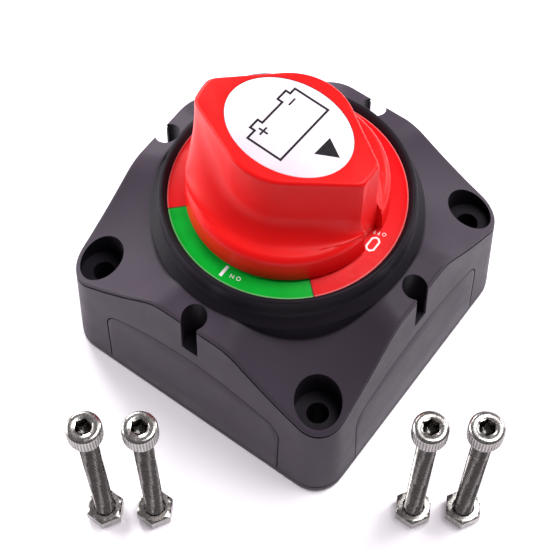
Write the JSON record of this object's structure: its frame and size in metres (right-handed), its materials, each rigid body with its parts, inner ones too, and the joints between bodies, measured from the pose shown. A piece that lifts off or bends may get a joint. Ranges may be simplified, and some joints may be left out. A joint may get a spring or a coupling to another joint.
{
  "type": "battery isolating switch",
  "caption": "Square surface-mount rotary switch for boat batteries, with a removable red key knob over a round dial, side cable entry panels and corner screw holes.",
  "frame": {"origin": "centre of the rear cover's outer face, which lies on the panel; the four loose mounting screws stand beside the switch on the same plane", "axes": "+Z out of the panel along the knob's axis; +X towards the OFF mark, where the knob points at rest; -Y towards the ON mark"},
  "size_m": [0.0976, 0.1007, 0.0693],
  "materials": {
    "housing_plastic": "dark grey moulded plastic, fine satin grain",
    "panel_plastic": "dark grey moulded plastic, fine satin grain",
    "carrier_plastic": "black glass filled plastic, matt",
    "rotor_plastic": "natural white nylon, satin",
    "knob_plastic": "red moulded plastic, satin to gloss",
    "dial_foil": "printed foil, red with a green quarter, satin",
    "label_foil": "white printed foil with black line art, satin",
    "seal_rubber": "black nitrile rubber",
    "copper": "rolled copper bar, polished contact faces",
    "stud_brass": "turned brass, tinned",
    "stainless_steel": "stainless steel, bright",
    "zinc_steel": "zinc plated steel",
    "spring_steel": "drawn spring steel"
  },
  "bodies": {
    "root": {"housing": "housing_plastic", "entry_panel_right": "panel_plastic", "entry_panel_back": "panel_plastic", "entry_panel_left": "panel_plastic", "entry_panel_front": "panel_plastic", "rear_cover": "housing_plastic", "contact_carrier": "carrier_plastic", "carrier_screw_back_right": "zinc_steel", "carrier_screw_front_right": "zinc_steel", "carrier_screw_back_left": "zinc_steel", "carrier_screw_front_left": "zinc_steel", "terminal_stud_right": "stud_brass", "flat_washer_right": "stainless_steel", "spring_washer_right": "spring_steel", "terminal_nut_right": "stainless_steel", "terminal_stud_left": "stud_brass", "flat_washer_left": "stainless_steel", "spring_washer_left": "spring_steel", "terminal_nut_left": "stainless_steel", "dial": "dial_foil", "mounting_screw_1": "stainless_steel", "mounting_nut_1": "stainless_steel", "mounting_screw_2": "stainless_steel", "mounting_nut_2": "stainless_steel", "mounting_screw_3": "stainless_steel", "mounting_nut_3": "stainless_steel", "mounting_screw_4": "stainless_steel", "mounting_nut_4": "stainless_steel"},
    "rotor": {"rotor": "rotor_plastic", "contact_bar": "copper", "contact_spring": "spring_steel", "shaft_seal": "seal_rubber"},
    "knob": {"knob": "knob_plastic", "knob_label": "label_foil"}
  },
  "joints": [
    {"name": "knob_turn", "type": "hinge", "parent": "root", "child": "rotor", "pos_m": [0, 0, 0.0459], "axis": [0, 0, 1], "range_deg": [-90, 0]},
    {"name": "knob_pull", "type": "slide", "parent": "rotor", "child": "knob", "axis": [0, 0, 1], "range_m": [0, 0.016]}
  ]
}
